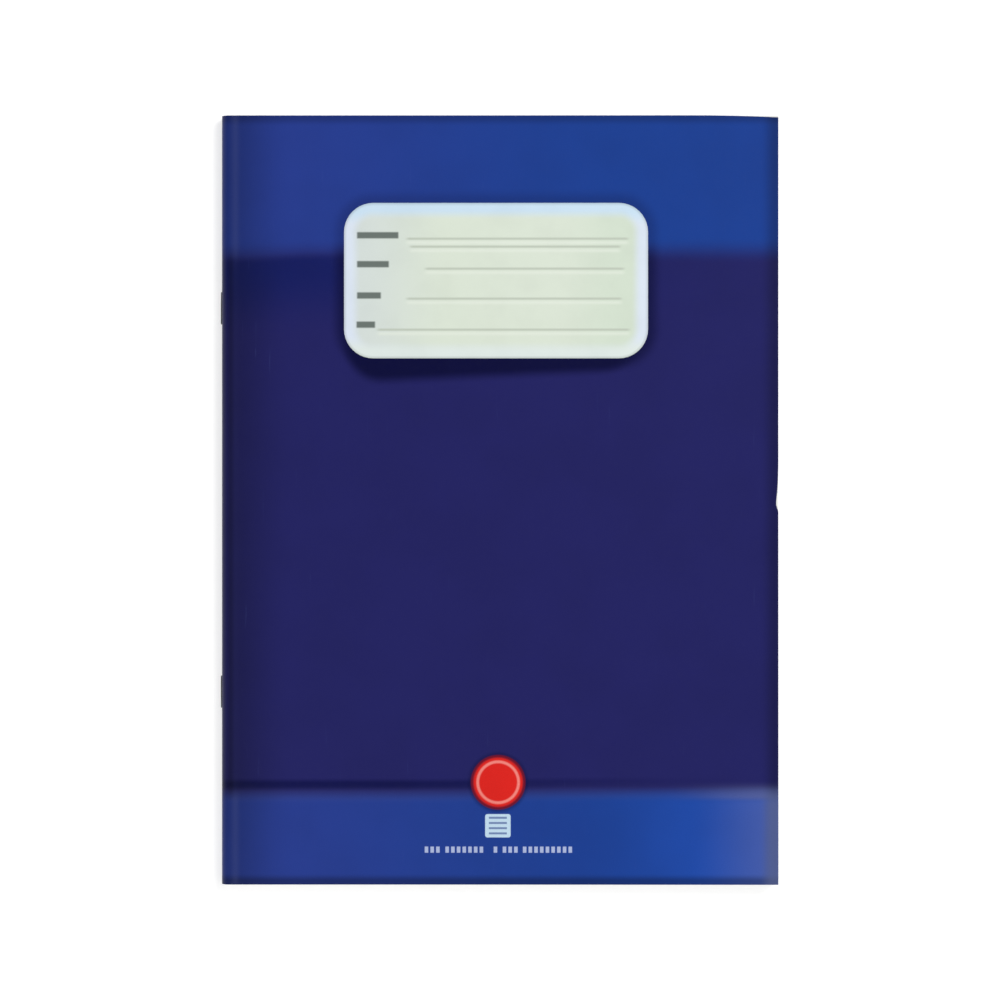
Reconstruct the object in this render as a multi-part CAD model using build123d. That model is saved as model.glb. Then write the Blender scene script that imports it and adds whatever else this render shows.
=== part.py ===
from build123d import *
import os

# A stapled exercise book that lies shut on its back cover, in millimetres.
# X runs from the spine to the fore-edge, Y from the tail to the head, Z is up.
# The origin is under the middle of the book, on the face it rests on.

# Paper block
book_width = 210.0  # outside of the spine to the fore-edge
book_height = 290.0  # tail to head
sheet_count = 25  # sheets folded once, two leaves each
leaf_thickness = 0.09
leaf_gap = 0.01  # air between neighbouring leaves

# Cover card
cover_thickness = 0.28
cover_gap = 0.01  # air between the cover and the outermost leaf

# Name label on the front cover
label_width = 114.6
label_height = 58.6
label_corner = 11.0
label_thickness = 0.1
label_from_spine = 46.3
label_from_head = 33.0

# Staples
wire_diameter = 0.5
crown_length = 12.0  # from leg to leg, on the wire's centre line
staple_spacing = 145.0  # between the middles of the two staples
leg_tip_gap = 1.6  # between the two clinched leg ends of one staple
crown_gap = 0.02  # air between the crown and the cover
leg_clearance = 0.03  # around a leg in its holes
fold_clearance = 0.05  # between the clinched legs and the innermost fold
bend_clearance = 0.05  # what a bend's radius has over the wire's own radius

# Where the flat leaves and cover panels begin, beyond the clinched legs
crease_clearance = 0.25

# The folds are nested half rings about one axis, and the clinched legs lie on that axis
wire_radius = wire_diameter / 2
inner_radius = wire_radius + fold_clearance
leaf_pitch = leaf_thickness + leaf_gap
cover_inner = inner_radius + sheet_count * leaf_pitch - leaf_gap + cover_gap
spine_radius = cover_inner + cover_thickness
bend_radius = wire_radius + bend_clearance
crease_offset = wire_radius + crease_clearance
crown_reach = crown_gap + wire_diameter

overall_width = book_width + crown_reach
spine_outside = -overall_width / 2 + crown_reach
fore_edge = overall_width / 2
axis_x = spine_outside + spine_radius
axis_z = spine_radius
flat_start = axis_x + crease_offset
flat_width = fore_edge - flat_start
crown_x = spine_outside - crown_gap - wire_radius
leg_ys = [
    side * staple_spacing / 2 + end * crown_length / 2
    for side in (-1, 1)
    for end in (-1, 1)
]


def flat_sheet(bottom, thickness):
    """A flat rectangle of paper or card from the crease to the fore-edge."""
    blank = Box(flat_width, book_height, thickness, align=(Align.MIN, Align.CENTER, Align.MIN))
    return Pos(flat_start, 0, bottom) * blank


def leg_holes():
    """Round holes along X for the four staple legs, through the side of every fold."""
    length = spine_radius + crown_reach
    drill = Cylinder(
        wire_radius + leg_clearance, length, rotation=(0, -90, 0),
        align=(Align.CENTER, Align.CENTER, Align.MIN),
    )
    return [Pos(axis_x, y, axis_z) * drill for y in leg_ys]


def fold(inner, thickness):
    """A half ring about the fold axis, with a flat strip above and below up to the crease."""
    outer = inner + thickness
    with BuildSketch(Plane.XZ) as profile:
        with BuildLine():
            Line((crease_offset, outer), (0, outer))
            CenterArc((0, 0), outer, 90, 180)
            Line((0, -outer), (crease_offset, -outer))
            Line((crease_offset, -outer), (crease_offset, -inner))
            Line((crease_offset, -inner), (0, -inner))
            CenterArc((0, 0), inner, 270, -180)
            Line((0, inner), (crease_offset, inner))
            Line((crease_offset, inner), (crease_offset, outer))
        make_face()
    strip = extrude(profile.sketch, amount=book_height / 2, both=True)
    return Pos(axis_x, 0, axis_z) * strip - leg_holes()


def staple(middle):
    """A round wire: a crown outside the spine and two legs, bent towards each other inside the fold."""
    half_crown, half_tip = crown_length / 2, leg_tip_gap / 2
    wire_line = FilletPolyline(
        (axis_x, middle - half_tip, axis_z),
        (axis_x, middle - half_crown, axis_z),
        (crown_x, middle - half_crown, axis_z),
        (crown_x, middle + half_crown, axis_z),
        (axis_x, middle + half_crown, axis_z),
        (axis_x, middle + half_tip, axis_z),
        radius=bend_radius,
    )
    section = Plane(origin=wire_line @ 0, z_dir=wire_line % 0) * Circle(wire_radius)
    return sweep(section, path=wire_line)


def name_label():
    """A rectangle of paper with round corners, lying on the front cover."""
    blank = extrude(RectangleRounded(label_width, label_height, label_corner), amount=label_thickness)
    x = spine_outside + label_from_spine + label_width / 2
    y = book_height / 2 - label_from_head - label_height / 2
    return Pos(x, y, 2 * spine_radius) * blank


def leaf_bottom(number):
    """The height of a leaf's lower face: the leaves are counted from the front cover."""
    if number <= sheet_count:
        return axis_z + inner_radius + (sheet_count - number) * leaf_pitch
    return axis_z - inner_radius - (number - sheet_count - 1) * leaf_pitch - leaf_thickness


solids = {
    "front_cover": flat_sheet(2 * spine_radius - cover_thickness, cover_thickness),
    "cover_spine": fold(cover_inner, cover_thickness),
    "back_cover": flat_sheet(0, cover_thickness),
    "sheet_folds": Compound(
        children=[fold(inner_radius + ring * leaf_pitch, leaf_thickness) for ring in range(sheet_count)]
    ),
    "head_staple": staple(staple_spacing / 2),
    "tail_staple": staple(-staple_spacing / 2),
    "name_label": name_label(),
}
for number in range(1, 2 * sheet_count + 1):
    solids[f"leaf_{number:02d}"] = flat_sheet(leaf_bottom(number), leaf_thickness)

os.makedirs("parts", exist_ok=True)
for name, solid in solids.items():
    export_step(solid, f"parts/{name}.step")
print(f"{len(solids)} nodes, {book_width:g} x {book_height:g} x {2 * spine_radius:.2f} mm")
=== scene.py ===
import math
import random

import bpy
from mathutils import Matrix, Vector


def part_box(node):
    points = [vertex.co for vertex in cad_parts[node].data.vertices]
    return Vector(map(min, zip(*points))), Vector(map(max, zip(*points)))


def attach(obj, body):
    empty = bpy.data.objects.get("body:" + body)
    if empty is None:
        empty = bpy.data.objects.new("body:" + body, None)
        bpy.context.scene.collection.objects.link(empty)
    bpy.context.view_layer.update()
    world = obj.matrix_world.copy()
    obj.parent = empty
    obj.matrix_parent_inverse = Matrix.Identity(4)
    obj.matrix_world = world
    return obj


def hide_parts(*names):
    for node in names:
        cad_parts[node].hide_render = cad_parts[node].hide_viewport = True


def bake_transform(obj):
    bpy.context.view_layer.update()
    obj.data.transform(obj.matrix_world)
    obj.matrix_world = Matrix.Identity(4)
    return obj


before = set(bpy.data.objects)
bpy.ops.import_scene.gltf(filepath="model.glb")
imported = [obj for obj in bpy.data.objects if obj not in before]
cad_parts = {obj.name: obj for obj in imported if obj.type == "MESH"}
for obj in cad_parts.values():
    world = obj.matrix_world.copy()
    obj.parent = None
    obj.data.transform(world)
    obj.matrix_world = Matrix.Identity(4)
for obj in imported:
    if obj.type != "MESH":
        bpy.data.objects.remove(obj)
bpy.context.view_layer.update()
scene = bpy.context.scene
scene.view_settings.view_transform = "Standard"
dice = random.Random(11)
mm = 1000  # to a metre: shapes are in metres, prints in mm
same = 1e-6  # places closer than this count as one
toFore, toHead = (1, 0, 0), (0, 1, 0)  # directions of cuts and edges

# places of the shut book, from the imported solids
coverLow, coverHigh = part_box("front_cover")
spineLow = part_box("cover_spine")[0]
labelLow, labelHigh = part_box("name_label")
place = {
    "spine": spineLow.x,  # outside of the spine
    "crease": coverLow.x,  # where the flat leaves and panels begin
    "fore": coverHigh.x,
    "tail": coverLow.y,
    "head": coverHigh.y,
    "top": coverHigh.z,
    "card": coverHigh.z - coverLow.z,  # thickness of the cover card
    "labelCorner": 0.011,
}
place["width"] = place["fore"] - place["spine"]
place["height"] = place["head"] - place["tail"]
place["axisZ"] = place["top"] / 2  # all folds lie round this line
place["axisX"] = place["spine"] + place["axisZ"]
sheetCount = sum(name.startswith("leaf_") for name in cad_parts) // 2
print("frame loaded:", len(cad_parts), "nodes")


# modelling helpers

def onlyThis(piece):
    bpy.ops.object.select_all(action="DESELECT")
    piece.select_set(True)
    bpy.context.view_layer.objects.active = piece


def pick(piece, rule=lambda c: True):  # leaves the piece in edit mode with the points that fit selected
    onlyThis(piece)
    bpy.ops.object.mode_set(mode="EDIT")
    bpy.ops.mesh.select_mode(type="VERT")
    bpy.ops.mesh.select_all(action="DESELECT")
    bpy.ops.object.mode_set(mode="OBJECT")
    for point in piece.data.vertices:
        point.select = bool(rule(point.co))
    bpy.ops.object.mode_set(mode="EDIT")


def done():
    bpy.ops.object.mode_set(mode="OBJECT")


def addRectangle(name, across, up, z, cells):  # flat grid between two places across and two up
    bpy.ops.object.select_all(action="DESELECT")
    columns, rows = cells
    middle = (sum(across) / 2, sum(up) / 2, z)
    bpy.ops.mesh.primitive_grid_add(x_subdivisions=columns, y_subdivisions=rows, size=1, location=middle)
    piece = bpy.context.object
    piece.name = piece.data.name = name
    bpy.ops.object.mode_set(mode="EDIT")
    bpy.ops.transform.resize(value=(across[1] - across[0], up[1] - up[0], 1), center_override=middle)
    done()
    bpy.ops.object.transform_apply(location=True, rotation=True, scale=True)
    return piece


def addSheet(name, start, z, cells):  # from this place to the fore-edge, as high as the book
    return addRectangle(name, (start, place["fore"]), (place["tail"], place["head"]), z, cells)


def cutAt(piece, direction, places):  # straight cuts across the whole sheet
    onlyThis(piece)
    bpy.ops.object.mode_set(mode="EDIT")
    for at in places:
        bpy.ops.mesh.select_all(action="SELECT")
        bpy.ops.mesh.bisect(plane_co=Vector(direction) * at, plane_no=direction)
    done()


def turnOver(piece):
    pick(piece)
    bpy.ops.mesh.flip_normals()
    done()


def foldUnder(piece, steps):  # spins the spine edge half round the fold axis and adds the lower strip
    x, z = place["axisX"], place["axisZ"]
    pick(piece, lambda c: abs(c.x - x) < same)
    bpy.ops.mesh.spin(steps=steps, angle=math.pi, center=(x, 0, z), axis=(0, 1, 0))
    done()
    lowest = min(point.co.z for point in piece.data.vertices)
    pick(piece, lambda c: abs(c.z - lowest) < same)
    bpy.ops.mesh.extrude_region_move(TRANSFORM_OT_translate={"value": (place["crease"] - x, 0, 0)})
    bpy.ops.mesh.select_all(action="SELECT")
    bpy.ops.mesh.remove_doubles(threshold=same)
    bpy.ops.mesh.normals_make_consistent(inside=False)
    done()
    top = max(piece.data.polygons, key=lambda face: face.center.z)
    if top.normal.z < 0:
        turnOver(piece)


def layMap(piece, name, spot):  # the piece's own map for its print
    layer = piece.data.uv_layers[0]
    layer.name = name
    for loop in piece.data.loops:
        layer.data[loop.index].uv = spot(piece.data.vertices[loop.vertex_index].co)


def printSpot(c):  # mm from the spine round either side, and up from the tail
    side = 1 if c.z > place["axisZ"] else -1
    return (c.x - place["spine"]) * mm * side, (c.y - place["tail"]) * mm


def copyOf(piece, name):
    twin = piece.copy()
    twin.data = piece.data.copy()
    twin.name = twin.data.name = name
    scene.collection.objects.link(twin)
    return twin


# material helpers

def tint(*screen):  # a colour as a screen shows it, 0 to 255
    shares = [value / 255 for value in screen]
    return (*(c / 12.92 if c <= 0.04045 else ((c + 0.055) / 1.055) ** 2.4 for c in shares), 1)


def grey(level):
    return (level, level, level, 1)


def newFinish(name, roughness, shine):
    finish = bpy.data.materials.new(name)
    finish.use_nodes = True
    shader = finish.node_tree.nodes["Principled BSDF"]
    shader.inputs["Roughness"].default_value = roughness
    shader.inputs["Specular IOR Level"].default_value = shine
    return finish, finish.node_tree, shader


def node(tree, kind, **settings):
    made = tree.nodes.new("ShaderNode" + kind)
    for key, value in settings.items():
        setattr(made, key, value)
    return made


def feed(tree, value, socket):
    if isinstance(value, bpy.types.NodeSocket):
        tree.links.new(value, socket)
    else:
        socket.default_value = value


def calc(tree, operation, *values):
    made = node(tree, "Math", operation=operation)
    for value, socket in zip(values, made.inputs):
        feed(tree, value, socket)
    return made.outputs[0]


def times(tree, first, *others):
    for other in others:
        first = calc(tree, "MULTIPLY", first, other)
    return first


def vector(tree, operation, *values):
    made = node(tree, "VectorMath", operation=operation)
    for value, socket in zip(values, made.inputs):
        feed(tree, value, socket)
    return made.outputs["Value" if operation == "LENGTH" else "Vector"]


def rise(tree, value, low, high):  # 0 at low, 1 at high, smooth between
    made = node(tree, "MapRange", interpolation_type="SMOOTHSTEP")
    for key, number in (("Value", value), ("From Min", low), ("From Max", high)):
        feed(tree, number, made.inputs[key])
    return made.outputs["Result"]


def ramp(tree, value, low, high, strength):  # 0 at low, strength at high
    return times(tree, rise(tree, value, low, high), strength)


def between(tree, value, low, high, soft):  # 1 from low to high, with soft ends
    after = rise(tree, value, low - soft, low + soft)
    before = rise(tree, value, high + soft, high - soft)
    return times(tree, after, before)


def over(tree, under, colour, amount, blend="MIX"):  # lays a colour over another
    made = node(tree, "Mix", data_type="RGBA", blend_type=blend)
    for socket, value in ((0, amount), (6, under), (7, colour)):  # the Mix node's colour sockets
        feed(tree, value, made.inputs[socket])
    return made.outputs[2]


def darken(tree, under, amount, keep):  # multiplies a colour towards keep, 0 to 1
    return over(tree, under, grey(keep), amount, "MULTIPLY")


def printMap(tree, name):  # the map as a vector and its two numbers
    source = node(tree, "UVMap", uv_map=name).outputs["UV"]
    parts = node(tree, "SeparateXYZ")
    feed(tree, source, parts.inputs[0])
    return source, parts.outputs["X"], parts.outputs["Y"]


def noise(tree, source, scale, detail, rough=0.55, stretch=(1, 1, 1)):
    made = node(tree, "TexNoise")
    made.inputs["Scale"].default_value = 1
    made.inputs["Detail"].default_value = detail
    made.inputs["Roughness"].default_value = rough
    feed(tree, vector(tree, "MULTIPLY", source, tuple(scale * s for s in stretch)), made.inputs["Vector"])
    return made.outputs["Fac"]


def bump(tree, shader, height, depth, strength):
    made = node(tree, "Bump")
    made.inputs["Strength"].default_value = strength
    made.inputs["Distance"].default_value = depth
    feed(tree, height, made.inputs["Height"])
    feed(tree, made.outputs["Normal"], shader.inputs["Normal"])


def outsideBox(tree, source, left, right, low, high, corner):  # distance from a box with round corners
    middle = ((left + right) / 2, (low + high) / 2, 0)
    half = ((right - left) / 2 - corner, (high - low) / 2 - corner, 0)
    across = vector(tree, "ABSOLUTE", vector(tree, "SUBTRACT", source, middle))
    beyond = vector(tree, "MAXIMUM", vector(tree, "SUBTRACT", across, half), (0, 0, 0))
    return calc(tree, "SUBTRACT", vector(tree, "LENGTH", beyond), corner)


# cover card, printed outside; mm from the spine and from the tail
# a noise is its scale, detail, roughness and stretch, and a bump its depth in metres and its strength
coverPrint = {
    "shine": 0.2,
    "frontBegins": (0, 4),  # where print of the front alone fades in
    "navy": tint(31, 31, 99),
    "blueAtSpine": tint(35, 58, 144),
    "blueAtFore": tint(18, 61, 147),
    "blueTurns": (4, 160),
    "upperBand": (234, 244),  # where the band begins and is full
    "upperHang": (36, 8, 1.3),  # it hangs lower round the spine: from, to, by
    "lowerBand": (36.6, 31.0),
    "lowerClimb": (70, 150, 0.7),  # it climbs towards the fore-edge: from, to, by
    "deep": tint(2, 4, 60),  # dark blue for the painted shadow round the label and the printed shade round the seal
    "underUpper": {  # shade along the upper band
        "tint": tint(6, 22, 96), "rise": (206, 233), "fall": (239, 235), "away": (230, 10, 0.85),
    },
    "overLower": {  # and along the lower one
        "tint": tint(0, 5, 72), "rise": (34.9, 37.3), "fall": (40.5, 38.1), "away": (215, 50, 0.85),
    },
    "glow": {"tint": tint(24, 74, 172), "band": (37, 29), "away": (130, 190, 0.9)},  # painted sheen on the lower band
    "sheen": {"tint": tint(78, 98, 172), "away": (176, 216), "amount": 0.8},  # painted sheen at its outer end
    "ridge": {  # painted sheen along its upper side
        "tint": tint(98, 104, 150), "rise": (30.4, 32.8), "fall": (38.6, 33.2),
        "least": 0.06, "away": (165, 212, 0.5),
    },
    # painted shade towards the spine, the fore-edge, the head and the tail
    "spineShade": (28, 0, 0.58),  # from, to, what is kept
    "foreShade": (203, 209, 0.6),
    "headShade": (4.2, 0.8, 0.66),  # mm from that edge
    "tailShade": (4.4, 1.2, 0.5),
    "paintedForeSheen": {"tint": tint(92, 104, 150), "away": (202.5, 208, 0.6)},  # painted sheen along the fore-edge of the lower band
    "crease": {"at": (2.7, 4.5, 0.9), "keep": 0.74},  # painted shade in the crease beside the spine; at: from, to, softness
    # painted highlight: a paler line on the spine's shoulder, mostly on the bands
    "shoulderHighlight": {"tint": tint(96, 104, 150), "at": (4.4, 6.2, 1.6), "least": 0.02, "onBands": 0.12},
    # painted shade round the label's edge, weaker on the bands
    "labelRimShade": {"fade": (6.0, 0.2), "amount": 0.75, "lessOnBands": 0.45},
    "labelShadow": {  # painted shadow under the label, deeper towards the spine
        "lean": 0.045, "middle": 105, "corner": 14, "fade": (2.8, -2.4),
        "shift": (1, -3, -6.3, -20),  # of its left, right, lower and upper side from the label's
    },
    "seal": {
        "at": (104.4, 38.6), "radius": 10.2, "shade": (2.0, -0.5, 0.7),
        "rim": (0.4, -0.2), "disc": (-0.4, -1.5), "ringAt": (-3.0, -2.0, 0.35), "ringAmount": 0.8,
        "red": tint(224, 30, 22), "ring": tint(250, 150, 140), "edge": tint(112, 8, 40),
    },
    "pageMark": {
        "at": (104.3, 22.2), "width": 9.6, "height": 8.8, "corner": 0.9, "soft": 0.15,
        "ruleStart": 0.55, "rulePitch": 0.98, "rule": (0.5, 0.68), "ruleInset": 1.4, "ruleAmount": 0.7,
        "pale": tint(196, 222, 240),
    },
    "dashes": {  # a run is where it starts and how many dashes it has
        "runs": ((76.6, 3), (84.4, 7), (102.6, 1), (106.0, 3), (113.6, 9)),
        "at": 13.2, "pitch": 2.15, "width": 1.45, "height": 2.3, "soft": 0.12, "amount": 0.85,
        "endShort": 0.2, "endSoft": 0.05,  # a run ends this share of a pitch before a next dash would begin
        "pale": tint(186, 198, 232),
    },
    "cloud": {"noise": (0.035, 2), "range": (0.35, 0.7), "keep": 0.94},
    "grain": {"noise": (2.2, 2), "range": (0.3, 0.75), "keep": 0.93, "height": 0.25},
    "scratch": {"noise": (0.9, 4, 0.6, (1, 0.035, 1)), "range": (0.66, 0.76), "amount": 0.1},
    "worn": {"noise": (0.8, 4), "uneven": 1.1, "range": (0.62, 0.3, 0.55), "tint": tint(170, 178, 205)},
    "film": {"noise": (0.5, 3), "roughness": 0.3, "uneven": 0.14, "sheenAndRubbed": 0.12, "bump": (0.00006, 0.35)},
}


def printBands(tree, u, v, away):  # the two blues with the printed shade along the bands
    s = coverPrint
    upperAt = calc(tree, "ADD", v, ramp(tree, away, *s["upperHang"]))
    lowerAt = calc(tree, "SUBTRACT", v, ramp(tree, away, *s["lowerClimb"]))
    blue = over(tree, s["blueAtSpine"], s["blueAtFore"], rise(tree, away, *s["blueTurns"]))
    upper, lower = rise(tree, upperAt, *s["upperBand"]), rise(tree, lowerAt, *s["lowerBand"])
    bands = calc(tree, "MAXIMUM", upper, lower)
    colour = over(tree, s["navy"], blue, bands)
    for at, strip in ((upperAt, s["underUpper"]), (lowerAt, s["overLower"])):
        shade = times(tree, rise(tree, at, *strip["rise"]), rise(tree, at, *strip["fall"]))
        colour = over(tree, colour, strip["tint"], times(tree, shade, ramp(tree, away, *strip["away"])))

    # the front's lower band is brighter towards the fore-edge: painted sheen, most at the lifted corner and
    # along the band's upper side
    glow, sheen, ridge = s["glow"], s["sheen"], s["ridge"]
    onFront = rise(tree, u, *s["frontBegins"])
    low = times(tree, rise(tree, lowerAt, *glow["band"]), onFront)
    colour = over(tree, colour, glow["tint"], times(tree, low, ramp(tree, away, *glow["away"])))
    corner = times(tree, low, rise(tree, away, *sheen["away"]))
    colour = over(tree, colour, sheen["tint"], times(tree, corner, sheen["amount"]))
    crest = times(tree, rise(tree, lowerAt, *ridge["rise"]), rise(tree, lowerAt, *ridge["fall"]), onFront)
    most = calc(tree, "ADD", ridge["least"], ramp(tree, away, *ridge["away"]))
    colour = over(tree, colour, ridge["tint"], times(tree, crest, most))
    return colour, bands, low, corner


def shadeEdges(tree, colour, v, away, bands, low):  # painted shade along the four edges and in the pressed crease beside the spine, a painted highlight on its shoulder and painted sheen on the lower band's fore-edge
    s = coverPrint
    fromHead = calc(tree, "SUBTRACT", place["height"] * mm, v)
    # painted shade darkening the cover towards each of its four edges
    for at, (start, full, keep) in (
        (away, s["spineShade"]), (away, s["foreShade"]), (fromHead, s["headShade"]), (v, s["tailShade"]),
    ):
        colour = darken(tree, colour, rise(tree, at, start, full), keep)
    # painted sheen: the lower band's fore-edge turns paler and greyer
    sheenAndRubbed = times(tree, low, ramp(tree, away, *s["paintedForeSheen"]["away"]))
    colour = over(tree, colour, s["paintedForeSheen"]["tint"], sheenAndRubbed)
    # painted shade in the crease beside the spine, left off the bands
    crease = times(tree, between(tree, away, *s["crease"]["at"]), calc(tree, "SUBTRACT", 1, bands))
    colour = darken(tree, colour, crease, s["crease"]["keep"])
    # painted highlight along the spine's shoulder
    most = calc(tree, "ADD", s["shoulderHighlight"]["least"], times(tree, bands, s["shoulderHighlight"]["onBands"]))
    shoulderHighlight = times(tree, between(tree, away, *s["shoulderHighlight"]["at"]), most)
    return over(tree, colour, s["shoulderHighlight"]["tint"], shoulderHighlight)


def shadeLabel(tree, colour, source, u, v, bands):  # painted shade and painted shadow round the raised name label
    rim, drop, deep = coverPrint["labelRimShade"], coverPrint["labelShadow"], coverPrint["deep"]
    label = [(labelLow.x - place["spine"]) * mm, (labelHigh.x - place["spine"]) * mm]
    label += [(labelLow.y - place["tail"]) * mm, (labelHigh.y - place["tail"]) * mm]
    beyond = outsideBox(tree, source, *label, place["labelCorner"] * mm)
    amount = calc(tree, "SUBTRACT", rim["amount"], times(tree, bands, rim["lessOnBands"]))
    colour = over(tree, colour, deep, times(tree, rise(tree, beyond, *rim["fade"]), amount))
    leaning = node(tree, "CombineXYZ")
    lean = times(tree, calc(tree, "SUBTRACT", u, drop["middle"]), drop["lean"])
    feed(tree, u, leaning.inputs["X"])
    feed(tree, calc(tree, "SUBTRACT", v, lean), leaning.inputs["Y"])
    box = [side + shift for side, shift in zip(label, drop["shift"])]
    beyond = outsideBox(tree, leaning.outputs[0], *box, drop["corner"])
    return over(tree, colour, deep, rise(tree, beyond, *drop["fade"]))


def printSeal(tree, colour, source):  # plain red seal with a pale ring
    s = coverPrint["seal"]
    reach = vector(tree, "LENGTH", vector(tree, "SUBTRACT", source, (*s["at"], 0)))
    reach = calc(tree, "SUBTRACT", reach, s["radius"])
    colour = over(tree, colour, coverPrint["deep"], ramp(tree, reach, *s["shade"]))
    colour = over(tree, colour, s["edge"], rise(tree, reach, *s["rim"]))
    colour = over(tree, colour, s["red"], rise(tree, reach, *s["disc"]))
    ring = times(tree, between(tree, reach, *s["ringAt"]), s["ringAmount"])
    return over(tree, colour, s["ring"], ring)


def printPageMark(tree, colour, source, u, v):  # small page with ruled lines
    s = coverPrint["pageMark"]
    x, y = s["at"]
    left, right = x - s["width"] / 2, x + s["width"] / 2
    low, high = y - s["height"] / 2, y + s["height"] / 2
    page = rise(tree, outsideBox(tree, source, left, right, low, high, s["corner"]), s["soft"], -s["soft"])
    ruled = calc(tree, "PINGPONG", calc(tree, "SUBTRACT", v, low + s["ruleStart"]), s["rulePitch"])
    across = between(tree, u, left + s["ruleInset"], right - s["ruleInset"], s["soft"])
    ruled = times(tree, rise(tree, ruled, *s["rule"]), across, s["ruleAmount"])
    return over(tree, colour, s["pale"], times(tree, page, calc(tree, "SUBTRACT", 1, ruled)))


def printDashes(tree, colour, u, v):  # runs of short dashes under the page
    s = coverPrint["dashes"]
    tall = between(tree, v, s["at"] - s["height"] / 2, s["at"] + s["height"] / 2, s["soft"])
    for start, count in s["runs"]:
        along = calc(tree, "SUBTRACT", u, start)
        dash = between(tree, calc(tree, "MODULO", along, s["pitch"]), s["soft"], s["width"], s["soft"])
        run = between(tree, along, 0, (count - s["endShort"]) * s["pitch"], s["endSoft"])
        colour = over(tree, colour, s["pale"], times(tree, dash, run, tall, s["amount"]))
    return colour


def makeCoverPrint():
    s, film = coverPrint, coverPrint["film"]
    finish, tree, shader = newFinish("coverPrint", film["roughness"], s["shine"])
    source, u, v = printMap(tree, "print")
    away = calc(tree, "ABSOLUTE", u)  # from the spine on either side
    colour, bands, low, corner = printBands(tree, u, v, away)
    colour = shadeEdges(tree, colour, v, away, bands, low)
    colour = shadeLabel(tree, colour, source, u, v, bands)
    colour = printSeal(tree, colour, source)
    colour = printPageMark(tree, colour, source, u, v)
    colour = printDashes(tree, colour, u, v)

    # handling: cloudy ink, fine scratches and pale worn edges
    cloud = noise(tree, source, *s["cloud"]["noise"])
    colour = darken(tree, colour, rise(tree, cloud, *s["cloud"]["range"]), s["cloud"]["keep"])
    grain = noise(tree, source, *s["grain"]["noise"])
    colour = darken(tree, colour, rise(tree, grain, *s["grain"]["range"]), s["grain"]["keep"])
    scratch = rise(tree, noise(tree, source, *s["scratch"]["noise"]), *s["scratch"]["range"])
    colour = over(tree, colour, s["sheen"]["tint"], times(tree, scratch, s["scratch"]["amount"]))
    edge = calc(tree, "MINIMUM", v, calc(tree, "SUBTRACT", place["height"] * mm, v))
    edge = calc(tree, "MINIMUM", edge, calc(tree, "SUBTRACT", place["width"] * mm, away))
    uneven = times(tree, noise(tree, source, *s["worn"]["noise"]), s["worn"]["uneven"])
    worn = ramp(tree, calc(tree, "ADD", edge, uneven), *s["worn"]["range"])
    feed(tree, over(tree, colour, s["worn"]["tint"], worn), shader.inputs["Base Color"])

    # the clear film is uneven, and duller where it is rubbed
    waves = noise(tree, source, *film["noise"])
    rough = calc(tree, "ADD", film["roughness"], times(tree, waves, film["uneven"]))
    sheenAndRubbed = times(tree, calc(tree, "MAXIMUM", scratch, corner), film["sheenAndRubbed"])
    feed(tree, calc(tree, "ADD", rough, sheenAndRubbed), shader.inputs["Roughness"])
    bump(tree, shader, calc(tree, "ADD", waves, times(tree, grain, s["grain"]["height"])), *film["bump"])
    return finish


# plain finishes: two tones mixed by a grain, which also stands up a little
plainFinish = {
    "cardInside": {  # white card inside the cover
        "roughness": 0.8, "shine": 0.25, "mapped": True,  # on the print map, or else on Object coordinates
        "tones": (tint(232, 233, 230), tint(245, 246, 243)),
        "noise": (1.4, 5, 0.65, (1, 0.5, 1)), "bump": (0.00004, 0.3),
    },
    "cardEdge": {  # its cut edges
        "roughness": 0.75, "shine": 0.25, "mapped": True,
        "tones": (tint(120, 126, 170), tint(196, 200, 216)),
        "noise": (1.1, 4), "range": (0.35, 0.65), "bump": (0.00003, 0.4),
    },
    "paperEdge": {  # each leaf has its own tone
        "roughness": 0.9, "shine": 0.15, "mapped": False,
        "tones": (tint(196, 194, 186), tint(246, 245, 240)),
        "noise": (300, 3, 0.6, (1, 1, 40)), "range": (0.3, 0.66), "bump": (0.00002, 0.4),
    },
    "stapleWire": {  # drawn lengthwise
        "roughness": 0.24, "shine": 0.5, "mapped": False, "metal": 1, "uneven": 0.16,
        "tones": (tint(168, 170, 174), tint(222, 224, 226)),
        "noise": (900, 4, 0.6, (1, 0.12, 1)), "range": (0.3, 0.7), "bump": (0.00002, 0.3),
    },
}


def makePlainFinish(name):
    s = plainFinish[name]
    finish, tree, shader = newFinish(name, s["roughness"], s["shine"])
    shader.inputs["Metallic"].default_value = s.get("metal", 0)
    source = printMap(tree, "print")[0] if s["mapped"] else node(tree, "TexCoord").outputs["Object"]
    grain = noise(tree, source, *s["noise"])
    amount = rise(tree, grain, *s["range"]) if "range" in s else grain
    feed(tree, over(tree, *s["tones"], amount), shader.inputs["Base Color"])
    if "uneven" in s:
        rough = calc(tree, "ADD", s["roughness"], times(tree, grain, s["uneven"]))
        feed(tree, rough, shader.inputs["Roughness"])
    bump(tree, shader, grain, *s["bump"])
    return finish


# ruled writing paper; mm from the spine and from the tail
ruling = {
    "roughness": 0.82, "shine": 0.22, "bump": (0.00003, 0.3),
    "paper": tint(243, 243, 238),
    "shade": tint(233, 233, 227), "shadeRange": (0.3, 0.7),
    "fibre": (1.2, 5, 0.65, (1, 0.6, 1)), "fibreShare": 0.6,
    "cloud": (0.09, 3), "cloudShare": 0.4,
    "line": tint(150, 182, 214), "pitch": 8.0, "weight": 0.22, "soft": 0.1,
    "first": 268.0, "last": 14.0,  # highest and lowest line
    "ends": 2,  # the ruling ends this far beyond them
    "ink": 0.65, "inkOnFibre": 0.4,
    "margin": tint(222, 132, 140), "marginAt": (23.87, 24.13, 0.08), "marginInk": 0.85,
}


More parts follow.
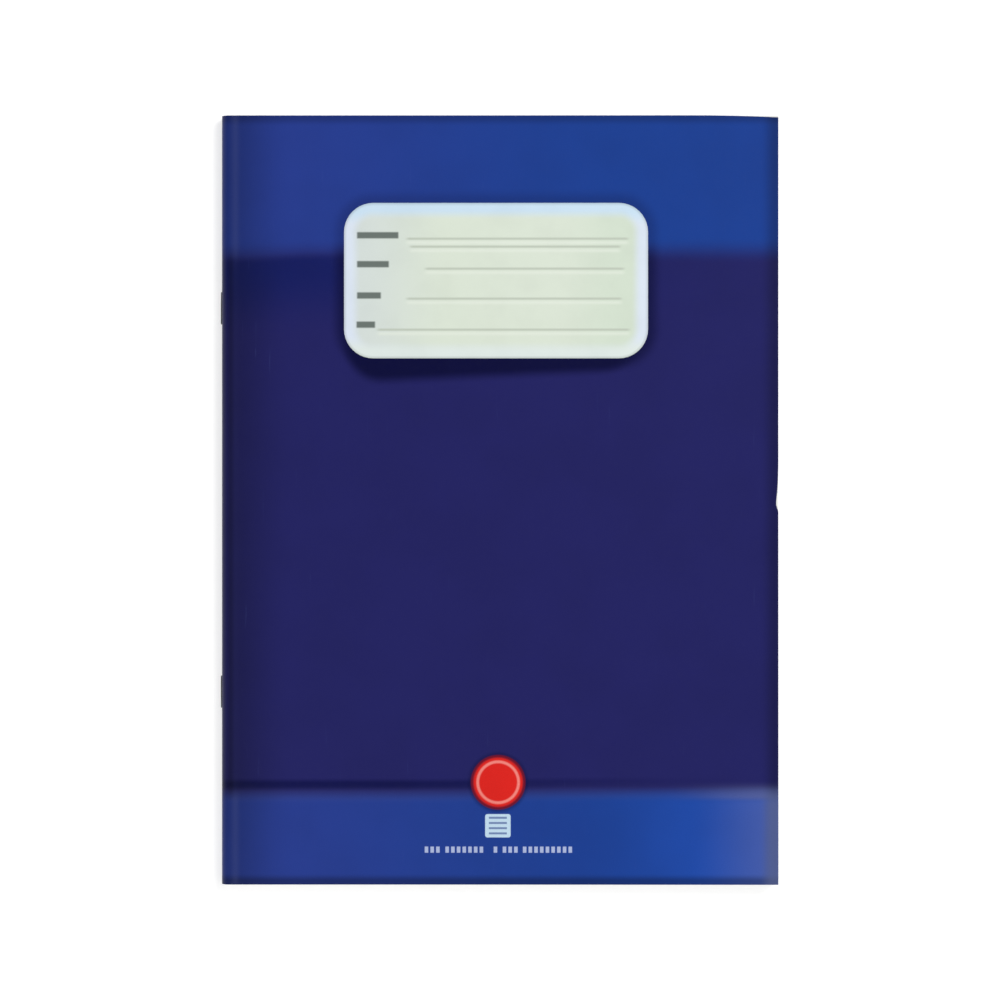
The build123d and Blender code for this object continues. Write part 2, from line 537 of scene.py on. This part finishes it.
def makeRuledPaper():
    s = ruling
    finish, tree, shader = newFinish("ruledPaper", s["roughness"], s["shine"])
    source, u, v = printMap(tree, "print")
    fibre = noise(tree, source, *s["fibre"])
    cloud = noise(tree, source, *s["cloud"])
    tone = calc(tree, "ADD", times(tree, fibre, s["fibreShare"]), times(tree, cloud, s["cloudShare"]))
    colour = over(tree, s["shade"], s["paper"], rise(tree, tone, *s["shadeRange"]))
    fromLine = calc(tree, "SUBTRACT", v, s["first"] % s["pitch"])
    fromLine = calc(tree, "PINGPONG", fromLine, s["pitch"] / 2)
    line = rise(tree, fromLine, s["weight"] / 2 + s["soft"], s["weight"] / 2 - s["soft"])
    ruled = between(tree, v, s["last"] - s["ends"], s["first"] + s["ends"], s["soft"])
    ink = calc(tree, "ADD", s["ink"], times(tree, fibre, s["inkOnFibre"]))
    colour = over(tree, colour, s["line"], times(tree, line, ruled, ink))
    margin = between(tree, calc(tree, "ABSOLUTE", u), *s["marginAt"])
    colour = over(tree, colour, s["margin"], times(tree, margin, s["marginInk"]))
    feed(tree, colour, shader.inputs["Base Color"])
    bump(tree, shader, fibre, *s["bump"])
    return finish


# name label: a pale rim, writing lines and grey bars in front of them; mm from its lower left corner
labelPrint = {
    "roughness": 0.42, "shine": 0.3, "bump": (0.00003, 0.25),
    "paper": tint(219, 229, 213),
    "left": tint(213, 222, 218), "leftTurns": (40, 3),  # the paper's tone at either end
    "right": tint(212, 225, 207), "rightTurns": (80, 104),
    "rim": tint(220, 230, 243), "rimWidth": 3.7, "rimFade": (-2.8, 1.4),
    "rimHead": tint(203, 226, 243), "rimTail": tint(223, 233, 229), "rimTurns": (9, 3),  # from that edge
    "edgeDarkening": (-1.3, 0.1), "edgeDarkeningKeep": 0.74,  # darker along the cut edge
    "line": tint(188, 197, 182), "lineWeight": 0.4, "lineSoft": 0.35, "lineAmount": 0.9, "endSoft": 1.2,
    "gleam": tint(231, 238, 226), "gleamAt": (-2.0, -1.0, 0.7), "gleamAmount": 0.6,  # painted highlight under each line
    "lines": [  # height, from, to
        (45.1, 23.7, 107), (42.1, 25, 104), (33.8, 30.7, 105.5), (22.5, 23.7, 104.5), (10.8, 12.7, 107.5),
    ],
    "bar": tint(82, 94, 88), "barWeight": 1.2, "barAmount": 0.9, "barSoft": 0.4,
    "bars": [(46.4, 4.9, 20.5), (35.5, 4.9, 16.9), (23.7, 4.9, 13.9), (12.7, 4.7, 11.7)],
    "cloud": (0.06, 3), "cloudRange": (0.4, 0.7),
    "fibre": (1.6, 4, 0.6), "uneven": 0.16,
    "keep": 0.965,  # of the paper's tone where it is cloudy or fibrous
}


def makeLabelPrint():
    s = labelPrint
    finish, tree, shader = newFinish("labelPrint", s["roughness"], s["shine"])
    source, u, v = printMap(tree, "label")
    width, height = (labelHigh.x - labelLow.x) * mm, (labelHigh.y - labelLow.y) * mm
    corner, w = place["labelCorner"] * mm, s["rimWidth"]
    colour = over(tree, s["paper"], s["left"], rise(tree, u, *s["leftTurns"]))
    colour = over(tree, colour, s["right"], rise(tree, u, *s["rightTurns"]))
    rim = over(tree, s["rim"], s["rimHead"], rise(tree, calc(tree, "SUBTRACT", height, v), *s["rimTurns"]))
    rim = over(tree, rim, s["rimTail"], rise(tree, v, *s["rimTurns"]))
    inside = outsideBox(tree, source, w, width - w, w, height - w, corner - w)
    colour = over(tree, colour, rim, rise(tree, inside, *s["rimFade"]))
    edgeDarkening = outsideBox(tree, source, 0, width, 0, height, corner)
    colour = darken(tree, colour, rise(tree, edgeDarkening, *s["edgeDarkening"]), s["edgeDarkeningKeep"])
    cloud = noise(tree, source, *s["cloud"])
    colour = darken(tree, colour, rise(tree, cloud, *s["cloudRange"]), s["keep"])

    for at, start, end in s["lines"]:
        reach = between(tree, u, start, end, s["endSoft"])
        low, high, soft = s["gleamAt"]
        gleam = times(tree, between(tree, v, at + low, at + high, soft), reach, s["gleamAmount"])
        colour = over(tree, colour, s["gleam"], gleam)
        tall = between(tree, v, at - s["lineWeight"], at + s["lineWeight"], s["lineSoft"])
        colour = over(tree, colour, s["line"], times(tree, tall, reach, s["lineAmount"]))
    for at, start, end in s["bars"]:
        tall = between(tree, v, at - s["barWeight"], at + s["barWeight"], s["lineSoft"])
        reach = between(tree, u, start, end, s["barSoft"])
        colour = over(tree, colour, s["bar"], times(tree, tall, reach, s["barAmount"]))

    fibre = noise(tree, source, *s["fibre"])
    feed(tree, darken(tree, colour, fibre, s["keep"]), shader.inputs["Base Color"])
    rough = calc(tree, "ADD", s["roughness"], times(tree, fibre, s["uneven"]))
    feed(tree, rough, shader.inputs["Roughness"])
    bump(tree, shader, fibre, *s["bump"])
    return finish


cardFinishes = [makeCoverPrint(), makePlainFinish("cardInside"), makePlainFinish("cardEdge")]
ruledPaper, paperEdge = makeRuledPaper(), makePlainFinish("paperEdge")
labelFace, stapleWire = makeLabelPrint(), makePlainFinish("stapleWire")
print("finishes made:", len(bpy.data.materials))


# two cages: one lets the leaves settle on each other beyond the fold, one lifts the fore-edge a little
settled = {
    "columns": 23, "rows": 2,
    "closed": (0.0, 0.55, 1.0),  # share of the way at the first columns
    "unit": 0.001,  # height at full strength
}
curled = {
    "columns": 7, "rows": 5,
    "tailCorner": 0.0009, "middle": 0.00035, "headCorner": 0.0006,
    "powerUp": 1.5, "powerOut": 1.6,
}


def makeCage(name, columns, rows, smooth, height):
    bpy.ops.object.select_all(action="DESELECT")
    low = Vector((place["crease"], place["tail"], 0))
    high = Vector((place["fore"], place["head"], labelHigh.z))
    bpy.ops.object.add(type="LATTICE", location=(low + high) / 2)
    made = bpy.context.object
    made.name, made.scale = name, high - low
    made.data.points_u, made.data.points_v, made.data.points_w = columns, rows, 2
    made.data.interpolation_type_u = made.data.interpolation_type_v = smooth
    made.data.interpolation_type_w = "KEY_LINEAR"
    for index, point in enumerate(made.data.points):
        point.co_deform.z += height(index % columns, index // columns % rows) / high.z
    bpy.context.view_layer.update()
    return made


def settleHeight(column, row):
    return settled["unit"] * settled["closed"][min(column, len(settled["closed"]) - 1)]


def curlHeight(column, row):
    s = curled
    up = 2 * row / (s["rows"] - 1) - 1  # -1 at the tail, 1 at the head
    corner = s["headCorner"] if up > 0 else s["tailCorner"]
    out = max(0, (column - 1) / (s["columns"] - 2))
    return (s["middle"] + (corner - s["middle"]) * abs(up) ** s["powerUp"]) * out ** s["powerOut"]


settleCage = makeCage("settleCage", settled["columns"], settled["rows"], "KEY_LINEAR", settleHeight)
curlCage = makeCage("curlCage", curled["columns"], curled["rows"], "KEY_BSPLINE", curlHeight)
smoothUnder = math.radians(40)


def finishSheet(piece, thickness, finishes, settle=0, curl=0):  # follows the cages and gets its thickness
    onlyThis(piece)
    for cage, strength in ((settleCage, settle), (curlCage, curl)):
        if strength:
            bend = piece.modifiers.new(cage.name, "LATTICE")
            bend.object, bend.strength = cage, strength
            bpy.ops.object.modifier_apply(modifier=bend.name)
    for finish in finishes:  # outer face, inner face, cut edge
        piece.data.materials.append(finish)
    wall = piece.modifiers.new("thickness", "SOLIDIFY")
    wall.thickness = thickness
    wall.offset = -1
    wall.material_offset = 1
    wall.material_offset_rim = 2
    bpy.ops.object.modifier_apply(modifier=wall.name)
    bpy.ops.object.shade_smooth_by_angle(angle=smoothUnder)


# front and back panels of the cover and the rounded spine between them
panel = {
    "cells": (24, 34),
    "bendCuts": (0.0006, 0.0012, 0.0018, 0.0024, 0.003, 0.0036, 0.0043, 0.005, 0.006),  # beyond the crease
    "bendReach": 0.005,
    "foreCut": 0.004,  # before the fore-edge
    "nick": (  # height, depth
        (0.0136, 0.0), (0.0096, 0.00008), (0.0062, 0.00022), (0.0034, 0.00042), (0.001, 0.00066),
        (-0.0008, 0.0008), (-0.002, 0.00078), (-0.003, 0.0005), (-0.0038, 0.00016), (-0.0046, 0.0),
    ),
    "wornCorner": {"reach": 0.028, "depth": 0.0008, "power": 1.5},  # at the head of the fore-edge
    "spineSteps": 24,
}


def nickDepth(y):  # straight stretches between the listed points
    for (high, depth), (low, deeper) in zip(panel["nick"], panel["nick"][1:]):
        if low <= y <= high:
            return depth + (deeper - depth) * (high - y) / (high - low)
    return 0


def cornerDepth(x):  # the head edge runs off a little towards the fore-edge
    worn = panel["wornCorner"]
    return worn["depth"] * max(0, 1 - (place["fore"] - x) / worn["reach"]) ** worn["power"]


def pullIn(piece, direction, at, depth):  # moves the points of the edge on this side inwards
    side = direction.index(1)
    along = 1 - side
    spots = {point.co[along] for point in piece.data.vertices if abs(point.co[side] - at) < same}
    for spot in sorted(spots):
        if depth(spot):
            pick(piece, lambda c: abs(c[along] - spot) < same and abs(c[side] - at) < same)
            bpy.ops.transform.translate(value=Vector(direction) * -depth(spot))
            done()


def makeFrontPanel():
    p = place
    piece = addSheet("frontPanel", p["crease"], p["top"], panel["cells"])
    cutAt(piece, toFore, [p["crease"] + at for at in panel["bendCuts"]])
    cutAt(piece, toHead, [at for at, depth in panel["nick"]])
    cutAt(piece, toFore, [p["fore"] - panel["foreCut"]])
    pullIn(piece, toFore, p["fore"], nickDepth)  # a small nick half way up the fore-edge
    pullIn(piece, toHead, p["head"], cornerDepth)
    layMap(piece, "print", printSpot)
    finishSheet(piece, p["card"], cardFinishes, curl=1)
    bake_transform(piece)
    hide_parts("front_cover")


def makeBackPanel():
    piece = addSheet("backPanel", place["crease"], 0, panel["cells"])
    turnOver(piece)
    layMap(piece, "print", printSpot)
    finishSheet(piece, place["card"], cardFinishes)
    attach(piece, "back_cover")
    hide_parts("back_cover")


def makeSpine():
    p = place
    strip, cells = (p["axisX"], p["crease"]), (1, panel["cells"][1])
    piece = addRectangle("spineFold", strip, (p["tail"], p["head"]), p["top"], cells)
    foldUnder(piece, panel["spineSteps"])
    layMap(piece, "print", printSpot)
    finishSheet(piece, p["card"], cardFinishes)
    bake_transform(piece)
    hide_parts("cover_spine")


makeFrontPanel()
makeBackPanel()
makeSpine()
print("cover made")


# the sheets: the front half of each carries its fold, the back half turns by itself
paperBlock = {
    "cells": (20, 26), "foldSteps": 12,
    "cuts": (0.0025, 0.0055),  # beyond the crease
    "gap": (0.1, 1, 3),  # least, most and power of the uneven gaps
    "trim": 0.00012,  # cut off at the edges, by these shares
    "trimFore": (0.2, 1), "trimHead": (0.3, 1.6),
    "trimShift": 0.05,  # how far off the middle a sheet may lie when it is cut
    "lean": (0.2, 0.98),  # where a fold's turn ends: beyond the axis and above it, in its radius
}


def restHeights():  # lower face of every leaf away from the fold, with uneven gaps between them
    low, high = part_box("leaf_01")
    thickness = high.z - low.z
    room = place["top"] - 2 * place["card"] - 2 * sheetCount * thickness
    least, most, power = paperBlock["gap"]
    gaps = [dice.uniform(least, most) ** power for _ in range(2 * sheetCount + 1)]
    heights, z = {}, place["card"]
    for number in range(2 * sheetCount, 0, -1):
        z += room * gaps[number] / sum(gaps)
        heights[number] = z
        z += thickness
    return heights


heights = restHeights()


def trimEdges(piece):  # no two sheets are cut quite alike
    s, p = paperBlock, place
    shorter = 1 - dice.uniform(*s["trimFore"]) * s["trim"] / (p["fore"] - p["crease"])
    lower = 1 - dice.uniform(*s["trimHead"]) * s["trim"] / p["height"]
    middle = (p["crease"], dice.uniform(-s["trimShift"], s["trimShift"]), p["axisZ"])
    pick(piece)
    bpy.ops.transform.resize(value=(shorter, lower, 1), center_override=middle)
    done()


def finishLeaf(piece, number, low, high):
    trimEdges(piece)
    layMap(piece, "print", printSpot)
    target = heights[number]
    settle, curl = (target - low) / settled["unit"], target / place["top"]
    finishSheet(piece, high - low, [ruledPaper, ruledPaper, paperEdge], settle, curl)


def makeSheets():
    p, s = place, paperBlock
    axis = (p["axisX"], 0, p["axisZ"])
    outer = p["axisZ"] - p["card"]
    base = addSheet("sheetBlank", p["axisX"], p["axisZ"] + outer, s["cells"])
    cutAt(base, toFore, [p["crease"] + at for at in (0, *s["cuts"])])
    foldUnder(base, s["foldSteps"])
    made = []
    for number in range(1, sheetCount + 1):
        leaf = f"leaf_{number:02d}"
        low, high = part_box(leaf)
        piece = copyOf(base, f"sheet{number:02d}")
        tighter = (high.z - p["axisZ"]) / outer  # every sheet nests in the one outside it
        pick(piece, lambda c: c.x < p["axisX"] - same)
        bpy.ops.transform.resize(value=(tighter, 1, 1), center_override=axis)
        bpy.ops.mesh.select_all(action="SELECT")
        bpy.ops.transform.resize(value=(1, 1, tighter), center_override=axis)
        done()
        finishLeaf(piece, number, low.z, high.z)
        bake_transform(piece)
        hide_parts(leaf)
        made.append(piece)
    bpy.data.objects.remove(base)
    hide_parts("sheet_folds")
    return made


def makeBackLeaves():
    base = addSheet("leafBlank", place["crease"], 0, paperBlock["cells"])
    cutAt(base, toFore, [place["crease"] + at for at in paperBlock["cuts"]])
    turnOver(base)
    made = []
    for number in range(sheetCount + 1, 2 * sheetCount + 1):
        leaf = f"leaf_{number:02d}"
        low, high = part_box(leaf)
        piece = copyOf(base, f"leaf{number:02d}")
        pick(piece)
        bpy.ops.transform.translate(value=(0, 0, low.z))
        done()
        finishLeaf(piece, number, low.z, high.z)
        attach(piece, leaf)
        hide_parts(leaf)
        made.append(piece)
    bpy.data.objects.remove(base)
    return made


sheets, backLeaves = makeSheets(), makeBackLeaves()
print("paper made:", len(sheets), "sheets,", len(backLeaves), "back leaves")


# name label with round corners
nameLabel = {"cornerSteps": 10, "cornerProfile": 0.5, "cutsAcross": 15, "cutsUp": 7}


def evenly(low, high, cuts):
    return [low + (high - low) * n / (cuts + 1) for n in range(1, cuts + 1)]


def makeLabel():
    s, low, high = nameLabel, labelLow, labelHigh
    piece = addRectangle("nameLabel", (low.x, high.x), (low.y, high.y), high.z, (1, 1))
    pick(piece)
    bpy.ops.mesh.bevel(
        affect="VERTICES", offset=place["labelCorner"], offset_type="OFFSET",
        segments=s["cornerSteps"], profile=s["cornerProfile"],
    )
    done()
    cutAt(piece, toFore, evenly(low.x, high.x, s["cutsAcross"]))
    cutAt(piece, toHead, evenly(low.y, high.y, s["cutsUp"]))
    layMap(piece, "label", lambda c: ((c.x - low.x) * mm, (c.y - low.y) * mm))
    finishSheet(piece, high.z - low.z, [labelFace, labelFace, labelFace], curl=1)
    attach(piece, "front_cover")
    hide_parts("name_label")


makeLabel()
for cage in (settleCage, curlCage):
    bpy.data.objects.remove(cage)

# the two staples keep their solids
for name in ("head_staple", "tail_staple"):
    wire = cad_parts[name]
    wire.data.materials.clear()
    wire.data.materials.append(stapleWire)
print("label and staples made")


# floor, white surroundings under a dim ceiling, and two soft lamps
studio = {
    "floor": 0.78, "floorSize": 12, "floorDrop": 0.0003, "roughness": 0.9,
    "glow": 0.4, "fade": (0.28, 1.1),  # the floor turns plain white this far from the book
    "fill": 0.58, "ceiling": 0.08, "ceilingTurns": (0.3, 0.8),
    "lamps": {  # place, size, power
        "rightLamp": ((0.8, 0.75, 1.0), 0.7, 10.5),
        "tailLamp": ((-0.45, -1.0, 0.9), 0.9, 5.2),
    },
}


def seenDirectly(tree):  # 1 for camera, mirror and see-through rays
    path = node(tree, "LightPath")
    seen = calc(tree, "MAXIMUM", path.outputs["Is Camera Ray"], path.outputs["Is Glossy Ray"])
    return calc(tree, "MAXIMUM", seen, path.outputs["Is Transmission Ray"])


def makeFloor():
    bpy.ops.object.select_all(action="DESELECT")
    bpy.ops.mesh.primitive_plane_add(size=studio["floorSize"], location=(0, 0, -studio["floorDrop"]))
    floor = bpy.context.object
    floor.name = "floor"
    finish, tree, shader = newFinish("floorWhite", studio["roughness"], 0)
    shader.inputs["Base Color"].default_value = grey(studio["floor"])
    shader.inputs["Emission Color"].default_value = grey(1)
    reach = vector(tree, "LENGTH", node(tree, "TexCoord").outputs["Object"])
    glow = calc(tree, "ADD", studio["glow"], rise(tree, reach, *studio["fade"]))
    feed(tree, times(tree, seenDirectly(tree), glow), shader.inputs["Emission Strength"])
    floor.data.materials.append(finish)


def makeWorld():
    world = bpy.data.worlds.new("studio")
    scene.world = world
    world.use_nodes = True
    tree = world.node_tree
    tree.nodes.clear()
    parts = node(tree, "SeparateXYZ")
    feed(tree, node(tree, "TexCoord").outputs["Generated"], parts.inputs[0])
    high = rise(tree, parts.outputs["Z"], *studio["ceilingTurns"])
    seen, soft = node(tree, "Background"), node(tree, "Background")
    feed(tree, over(tree, grey(1), grey(studio["ceiling"]), high), seen.inputs["Color"])
    soft.inputs["Color"].default_value = grey(1)
    soft.inputs["Strength"].default_value = studio["fill"]
    mix, out = node(tree, "MixShader"), node(tree, "OutputWorld")
    for socket, source in enumerate((seenDirectly(tree), soft.outputs[0], seen.outputs[0])):
        feed(tree, source, mix.inputs[socket])
    feed(tree, mix.outputs[0], out.inputs["Surface"])


def addLamp(name, at, size, power):
    bpy.ops.object.select_all(action="DESELECT")
    bpy.ops.object.light_add(type="AREA", location=at)
    lamp = bpy.context.object
    lamp.name = name
    lamp.data.size = size
    lamp.data.energy = power
    lamp.rotation_euler = (-Vector(at)).to_track_quat("-Z", "Y").to_euler()


makeFloor()
makeWorld()
for name, settings in studio["lamps"].items():
    addLamp(name, *settings)

# the camera looks straight down on the cover
view = {
    "lens": 100, "sensor": 36,
    "bookPixels": 557, "imagePixels": 1000,  # width of the book and of the whole picture
    "aside": 0.0001,  # towards the fore-edge
}
distance = view["lens"] / view["sensor"] * place["width"] * view["imagePixels"] / view["bookPixels"]
middle = (place["spine"] + place["fore"]) / 2 + view["aside"]
bpy.ops.object.select_all(action="DESELECT")
bpy.ops.object.camera_add(location=(middle, 0, place["top"] + distance), rotation=(0, 0, 0))
camera = bpy.context.object
camera.data.lens, camera.data.sensor_width = view["lens"], view["sensor"]
scene.camera = camera
print("studio made, camera", round(distance, 3), "m above the cover")
